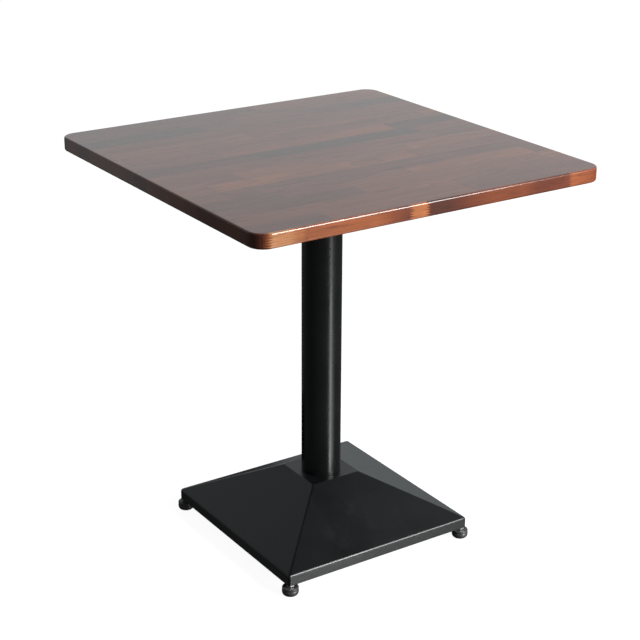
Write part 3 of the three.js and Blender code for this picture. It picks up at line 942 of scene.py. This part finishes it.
def top_spider(material):
    """A hub with four arms, a grooved spigot below for the column and a pocket above for the nut."""
    top = SPIDER_HIGH.z + SPIDER_SPARE
    spider = turned("spider", [
        (0, SPIDER_LOW.z), (SPIGOT_RADIUS, SPIDER_LOW.z), (SPIGOT_RADIUS, COLUMN_TOP),
        (HUB_RADIUS, COLUMN_TOP), (HUB_RADIUS, top), (0, top),
    ], segments=96)
    for x, y in CORNERS.values():
        join(spider, move(spider_arm(), turn=math.atan2(y, x)))
    groove_top = SPIDER_LOW.z + CORE_DEPTH
    groove = cylinder(SPIGOT_RADIUS - SPIGOT_WALL, SPIDER_LOW.z - PAST, groove_top, 64)
    core = cylinder(CORE_RADIUS, SPIDER_LOW.z - 2 * PAST, groove_top + PAST)
    cut(spider, cut(groove, core))
    cast_fillets(spider, SPIDER_VOXEL, SPIDER_SMOOTHING)

    cut(spider, box_solid("above", (-1, -1, SPIDER_HIGH.z), (1, 1, FAR_ABOVE)))
    cut(spider, cylinder(ROD_HOLE_RADIUS, SPIDER_LOW.z - PAST, FAR_ABOVE))
    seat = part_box("tie_rod_top_nut")[0].z
    cut(spider, extruded("pocket", hexagon(M12_NUT_FLATS + 2 * FIT), seat, FAR_ABOVE))
    for _, centre in screw_places():
        hole = cylinder(SCREW_HOLE_RADIUS, SPIDER_LOW.z, FAR_ABOVE, 24)
        cut(spider, move(hole, centre.x, centre.y))
    soften(spider, 40)
    stand_in(spider, "root", "coated_cast_iron", material, "top_spider")


# ---- Fasteners ----

THREAD_SEGMENTS = 28
THREAD_STEPS = 7  # rows of points in each pitch
THREAD_CORE = 0.2 * MM  # the least radius at a wood screw's point
# (pitch, depth, crest): a crest above 1 makes the crests narrow, as a wood screw's are
M12_THREAD = (1.75 * MM, 1.0 * MM, 1.0)
M8_THREAD = (1.25 * MM, 0.7 * MM, 1.0)
SCREW_THREAD = (2.2 * MM, 0.9 * MM, 2.2)

NUT_FACE_SHARE = 0.95  # the round face's width, as a share of the width across flats
NUT_CHAMFER = math.radians(30)
NUT_SINK = 0.6 * MM
WASHER_BENDS = (0.3 * MM, 0.9 * MM, 0.5 * MM, 0.3 * MM)
SPRING_BEND = 0.25 * MM
SPRING_GAP = 0.8 * MM  # half of the cut through the spring washer
SPRING_LEAN = 0.7 * MM
SPRING_STEPS = 60
ROD_CHAMFER = 1.2 * MM
ROD_LOWER_THREAD_TOP = 122 * MM
ROD_UPPER_THREAD_BOTTOM = SPIDER_LOW.z - 6 * MM
ROD_THREAD_INSET = 0.4 * MM
SCREW_SHANK = 2.4 * MM
SCREW_POINT = 5 * MM
SCREW_RIM_SHARE = 0.35  # how much of the head's height is its upright rim
# Sections of a cross recess upwards: half length, half width, height from the head's face
RECESS = [
    (2.7 * MM, 0.65 * MM, -0.5 * MM),
    (2.2 * MM, 0.55 * MM, 0.3 * MM),
    (0.9 * MM, 0.45 * MM, 2.1 * MM),
]


def thread_rows(outline, low, high, pitch):
    """The outline with enough points between two heights to shape a thread."""
    rows = []
    for (radius, height), (radius_on, height_on) in zip(outline, outline[1:]):
        rows.append((radius, height))
        start, end = max(low, height), min(high, height_on)
        if end - start <= pitch / THREAD_STEPS or radius <= 0:
            continue
        count = math.ceil((end - start) * THREAD_STEPS / pitch)
        for k in range(count + 1):
            at = start + (end - start) * k / count
            if height < at < height_on:
                share = (at - height) / (height_on - height)
                rows.append((radius + (radius_on - radius) * share, at))
    rows.append(outline[-1])
    return rows


def threaded(name, outline, low, high, thread):
    """A turned solid with a right-handed screw thread from one height to another.

    outline is (radius, height) upwards. The thread fades in and out over one pitch.
    """
    pitch, depth, crest = thread
    rings = []
    for radius, height in thread_rows(outline, low, high, pitch):
        if radius == 0:
            rings.append([(0, 0, height)])
            continue
        fade = max(0, min(1, (height - low) / pitch, (high - height) / pitch))
        ring = []
        for i in range(THREAD_SEGMENTS):
            turn = i / THREAD_SEGMENTS
            phase = (height / pitch - turn) % 1
            groove = min(1, crest * abs(2 * phase - 1)) * fade
            size = max(THREAD_CORE, radius - depth * groove)
            angle = 2 * math.pi * turn
            ring.append((size * math.cos(angle), size * math.sin(angle), height))
        rings.append(ring)
    return mesh_object(name, *stitch(rings))


def hex_nut(name, node, hole, flats, material):
    """A hexagon nut with its corners chamfered at both ends and a countersunk hole."""
    low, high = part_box(node)
    centre = (low + high) / 2
    corner = flats / math.sqrt(3)
    face = flats / 2 * NUT_FACE_SHARE
    drop = (corner - face) * math.tan(NUT_CHAMFER)
    past_corner = corner + 0.1 * MM
    nut = extruded(name, hexagon(flats), low.z, high.z)
    cone = turned("cone", [
        (0, low.z), (face, low.z), (past_corner, low.z + drop),
        (past_corner, high.z - drop), (face, high.z), (0, high.z),
    ], segments=72)
    combine(nut, cone, "INTERSECT")
    sink, mouth = NUT_SINK, hole + 2 * NUT_SINK
    bore = turned("bore", [
        (0, low.z - sink), (mouth, low.z - sink), (hole, low.z + sink),
        (hole, high.z - sink), (mouth, high.z + sink), (0, high.z + sink),
    ], segments=36)
    cut(nut, bore)
    move(nut, centre.x, centre.y)
    soften(nut, 25)
    stand_in(nut, "root", "zinc_plated_steel", material, node)


def ring_section(low, high, bends, steps):
    """A washer's section between two heights, counter-clockwise, as (radius, height)."""
    hole, outer = ROD_HOLE_RADIUS, high.y
    return rounded([(hole, low.z), (outer, low.z), (outer, high.z), (hole, high.z)], bends, steps)


def plain_washer(material):
    """A flat ring, rounder at its lower outer edge, as a punched one is."""
    section = ring_section(*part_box("tie_rod_washer"), WASHER_BENDS, 3)
    washer = turned("rod_washer", section, segments=96, closed=True)
    soften(washer)
    stand_in(washer, "root", "zinc_plated_steel", material, "tie_rod_washer")


def spring_washer(material):
    """A square-section ring, cut through at a slant."""
    low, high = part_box("tie_rod_spring_washer")
    section = ring_section(low, high, SPRING_BEND, 2)
    rings = []
    for k in range(SPRING_STEPS + 1):
        ring = []
        for radius, height in section:
            slant = SPRING_LEAN * (2 * (height - low.z) / (high.z - low.z) - 1)
            first = (SPRING_GAP + slant) / radius
            last = 2 * math.pi + (slant - SPRING_GAP) / radius
            angle = first + (last - first) * k / SPRING_STEPS
            ring.append((radius * math.cos(angle), radius * math.sin(angle), height))
        rings.append(ring[::-1])
    washer = mesh_object("rod_spring_washer", *stitch(rings))
    soften(washer)
    stand_in(washer, "root", "zinc_plated_steel", material, "tie_rod_spring_washer")


def tie_rod(material):
    """A bar with a thread at each end, made as two halves with one thread each."""
    low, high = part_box("tie_rod")
    radius, middle = high.x, (low.z + high.z) / 2
    outline = [
        (0, low.z), (radius - ROD_CHAMFER, low.z), (radius, low.z + ROD_CHAMFER),
        (radius, ROD_LOWER_THREAD_TOP), (radius, ROD_UPPER_THREAD_BOTTOM),
        (radius, high.z - ROD_CHAMFER), (radius - ROD_CHAMFER, high.z), (0, high.z),
    ]
    rod = threaded("rod", outline, low.z + ROD_THREAD_INSET, ROD_LOWER_THREAD_TOP, M12_THREAD)
    upper = threaded("rod", outline, ROD_UPPER_THREAD_BOTTOM, high.z - ROD_THREAD_INSET, M12_THREAD)
    cut(rod, cylinder(2 * radius, middle, FAR_ABOVE))
    cut(upper, cylinder(2 * radius, 0, middle))
    join(rod, upper)
    soften(rod, 50)
    stand_in(rod, "root", "zinc_plated_steel", material, "tie_rod")


def wood_screw(name, node, centre, material):
    """A pan-head screw that points up into the top, with a cross recess in its head."""
    low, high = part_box(node)
    head, seat, tip = high.x - centre.x, SPIDER_HIGH.z - ARM_THICKNESS, high.z
    dome_share = 1 - SCREW_RIM_SHARE
    dome = [
        (head * math.sin(angle), seat - (seat - low.z) * (SCREW_RIM_SHARE + dome_share * math.cos(angle)))
        for angle in (math.pi / 2 * k / 8 for k in range(9))
    ]
    outline = [*dome, (head, seat), (SCREW_SHANK, seat), (SCREW_SHANK, tip - SCREW_POINT), (0, tip)]
    screw = threaded(name, outline, SPIDER_HIGH.z + 2 * MM, tip - 0.5 * MM, SCREW_THREAD)
    for along in (0, math.pi / 2):
        slot = mesh_object("slot", *stitch([
            [(x * length, y * width, low.z + z) for x, y in CORNERS.values()]
            for length, width, z in RECESS
        ]))
        cut(screw, move(slot, turn=along + math.pi / 8))
    move(screw, centre.x, centre.y)
    soften(screw, 40)
    stand_in(screw, "root", "zinc_plated_steel", material, node)


def fasteners(material):
    """The tie rod with what is on it, and the screws that hold the top."""
    tie_rod(material)
    for end in ("top", "bottom"):
        hex_nut(f"rod_{end}_nut", f"tie_rod_{end}_nut", ROD_HOLE_RADIUS, M12_NUT_FLATS, material)
    plain_washer(material)
    spring_washer(material)
    for name, centre in screw_places():
        wood_screw(f"screw_{name}", f"top_screw_{name}", centre, material)


# ---- Feet ----

SOLE_RADIUS = 10.5 * MM  # of the flat part that stands on the floor
BOWL_HEIGHT = 7 * MM
BOWL_STEPS = 10
WAIST_RADIUS = 14.4 * MM
FLANGE_RADIUS = 15.2 * MM
DISH_DEPTH = 0.7 * MM
STUD_RADIUS = 4 * MM
STUD_CHAMFER = 1 * MM
STUD_HEAD_RADIUS = 8 * MM
STUD_HEAD_EDGE = 0.5 * MM
STUD_HEAD_LOW, STUD_HEAD_HIGH = 6.5 * MM, 10.5 * MM


def foot_sole(corner, x, y, material):
    """A moulded bowl under a thin flange, hollow where it holds the stud's head."""
    node = f"foot_pad_{corner}"
    low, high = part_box(node)
    wide, top, dish = (high.x - low.x) / 2, high.z, high.z - DISH_DEPTH
    under = [(0, 0.4 * MM), (7.6 * MM, 0.4 * MM), (8.4 * MM, 0), (SOLE_RADIUS - 0.6 * MM, 0)]
    bowl = [
        (SOLE_RADIUS + (wide - SOLE_RADIUS) * math.sin(angle), BOWL_HEIGHT * (1 - math.cos(angle)))
        for angle in (math.pi / 2 * k / BOWL_STEPS for k in range(1, BOWL_STEPS + 1))
    ]
    upper = [  # (radius, height, bend)
        (*bowl[-1], 0),
        (wide - 0.1 * MM, 9.2 * MM, 0.5 * MM),
        (WAIST_RADIUS, 10.6 * MM, 0.6 * MM),
        (WAIST_RADIUS, 11.8 * MM, 0.5 * MM),
        (FLANGE_RADIUS, 12.4 * MM, 0.5 * MM),
        (FLANGE_RADIUS, top, 1.6 * MM),
        (9.5 * MM, top, 0.5 * MM),
        (8.6 * MM, dish, 0.3 * MM),
        (STUD_HOLE_RADIUS, dish, 0.3 * MM),
        (STUD_HOLE_RADIUS, STUD_HEAD_HIGH + FIT, 0),
    ]
    rim = rounded([row[:2] for row in upper], [bend for *_, bend in upper])
    socket = [
        (STUD_HEAD_RADIUS + FIT, STUD_HEAD_HIGH + FIT), (STUD_HEAD_RADIUS + FIT, STUD_HEAD_LOW - FIT),
        (0, STUD_HEAD_LOW - FIT),
    ]
    sole = turned(f"sole_{corner}", [*under, *bowl, *rim[1:], *socket], segments=72)
    move(sole, x * FOOT_PLACE, y * FOOT_PLACE)
    soften(sole)
    stand_in(sole, f"foot_{corner}", "foot_plastic", material, node)


def foot_stud(corner, x, y, material):
    """An M8 stud whose round head turns in the foot."""
    node = f"foot_stud_{corner}"
    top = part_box(node)[1].z
    head, edge = STUD_HEAD_RADIUS, STUD_HEAD_EDGE
    outline = [
        (0, STUD_HEAD_LOW), (head - edge, STUD_HEAD_LOW), (head, STUD_HEAD_LOW + edge),
        (head, STUD_HEAD_HIGH - edge), (head - edge, STUD_HEAD_HIGH), (STUD_RADIUS, STUD_HEAD_HIGH),
        (STUD_RADIUS, top - STUD_CHAMFER), (STUD_RADIUS - STUD_CHAMFER, top), (0, top),
    ]
    stud = threaded(f"stud_{corner}", outline, STUD_HEAD_HIGH + 1 * MM, top - 0.2 * MM, M8_THREAD)
    move(stud, x * FOOT_PLACE, y * FOOT_PLACE)
    soften(stud, 50)
    stand_in(stud, f"stud_{corner}", "zinc_plated_steel", material, node)


def feet(foot_material, metal):
    """Four levelling feet, each a sole, a stud and the nut that locks it."""
    for corner, (x, y) in CORNERS.items():
        foot_sole(corner, x, y, foot_material)
        foot_stud(corner, x, y, metal)
        nut = f"lock_nut_{corner}"
        hex_nut(nut, f"foot_{nut}", STUD_HOLE_RADIUS, M8_NUT_FLATS, metal)


# ---- The table ----

wood = wood_material()
coat = powder_coat("powder_coat", **TUBE_COAT)
cast_coat = powder_coat("cast_powder_coat", **CAST_COAT, as_cast=True)
zinc = zinc_material()
plastic = plastic_material()

bpy.context.scene.view_settings.view_transform = "Standard"
make_camera()
make_world()
make_flag()
make_lights()
make_floor()

tabletop(wood)
top_spider(cast_coat)
column(coat)
base_casting(cast_coat)
fasteners(zinc)
feet(plastic, zinc)
